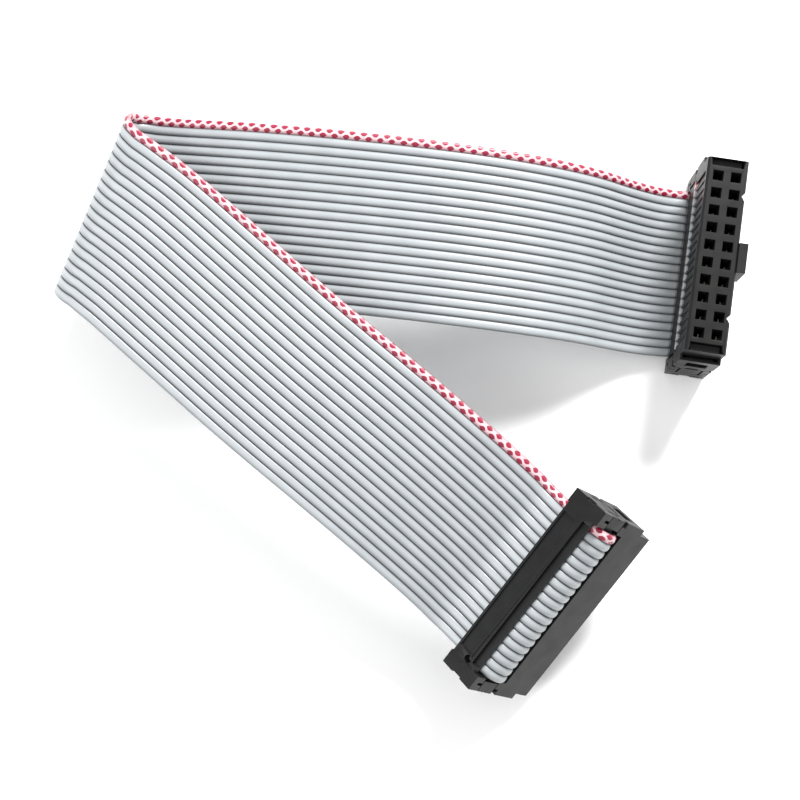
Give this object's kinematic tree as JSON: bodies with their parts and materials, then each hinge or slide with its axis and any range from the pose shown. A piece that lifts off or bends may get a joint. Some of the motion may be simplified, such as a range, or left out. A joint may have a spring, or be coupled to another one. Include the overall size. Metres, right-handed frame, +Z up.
{
  "type": "ribbon cable",
  "caption": "Grey flat ribbon cable folded back over itself, with a black two-row insulation-displacement socket and strain-relief clip on each end.",
  "frame": {"origin": "middle of the underside of socket A's strain-relief clip, on the surface that the cable lies on", "axes": "+Z up out of socket A's mating face, +X towards socket A's polarising key, +Y along the socket towards the marked wire"},
  "size_m": [0.0954, 0.0801, 0.0228],
  "materials": {
    "socket_plastic": "fine satin, black glass-filled polyester",
    "clip_plastic": "fine satin, black",
    "ribbon_insulation": "soft satin grey PVC, ridged along the wires",
    "core_copper": "bare stranded copper",
    "contact_metal": "tinned spring metal"
  },
  "bodies": {
    "clip_a": {"strain_relief_a": "clip_plastic"},
    "socket_a": {"housing_a": "socket_plastic", "cover_a": "socket_plastic", "ribbon_wrap_a": "ribbon_insulation", "cores_wrap_a": "core_copper", "ribbon_run_a": "ribbon_insulation", "cores_run_a": "core_copper", "ribbon_fold": "ribbon_insulation", "cores_fold": "core_copper", "contact_a_01": "contact_metal", "contact_a_02": "contact_metal", "contact_a_03": "contact_metal", "contact_a_04": "contact_metal", "contact_a_05": "contact_metal", "contact_a_06": "contact_metal", "contact_a_07": "contact_metal", "contact_a_08": "contact_metal", "contact_a_09": "contact_metal", "contact_a_10": "contact_metal", "contact_a_11": "contact_metal", "contact_a_12": "contact_metal", "contact_a_13": "contact_metal", "contact_a_14": "contact_metal", "contact_a_15": "contact_metal", "contact_a_16": "contact_metal", "contact_a_17": "contact_metal", "contact_a_18": "contact_metal", "contact_a_19": "contact_metal", "contact_a_20": "contact_metal"},
    "socket_b": {"ribbon_run_b": "ribbon_insulation", "cores_run_b": "core_copper", "ribbon_wrap_b": "ribbon_insulation", "cores_wrap_b": "core_copper", "housing_b": "socket_plastic", "cover_b": "socket_plastic", "contact_b_01": "contact_metal", "contact_b_02": "contact_metal", "contact_b_03": "contact_metal", "contact_b_04": "contact_metal", "contact_b_05": "contact_metal", "contact_b_06": "contact_metal", "contact_b_07": "contact_metal", "contact_b_08": "contact_metal", "contact_b_09": "contact_metal", "contact_b_10": "contact_metal", "contact_b_11": "contact_metal", "contact_b_12": "contact_metal", "contact_b_13": "contact_metal", "contact_b_14": "contact_metal", "contact_b_15": "contact_metal", "contact_b_16": "contact_metal", "contact_b_17": "contact_metal", "contact_b_18": "contact_metal", "contact_b_19": "contact_metal", "contact_b_20": "contact_metal"},
    "clip_b": {"strain_relief_b": "clip_plastic"}
  },
  "joints": [
    {"name": "clip_a_slide", "type": "slide", "parent": "clip_a", "child": "socket_a", "axis": [0, 0, 1], "range_m": [0, 0.007]},
    {"name": "ribbon_fold", "type": "hinge", "parent": "socket_a", "child": "socket_b", "pos_m": [-0.0846, -0.0068, 0.0144], "axis": [-0.2499, -0.9485, -0.1949], "range_deg": [0, 60], "deforming": ["ribbon_fold", "cores_fold"]},
    {"name": "clip_b_slide", "type": "slide", "parent": "socket_b", "child": "clip_b", "axis": [-0.5979, 0.0683, 0.7987], "range_m": [0, 0.007]}
  ]
}
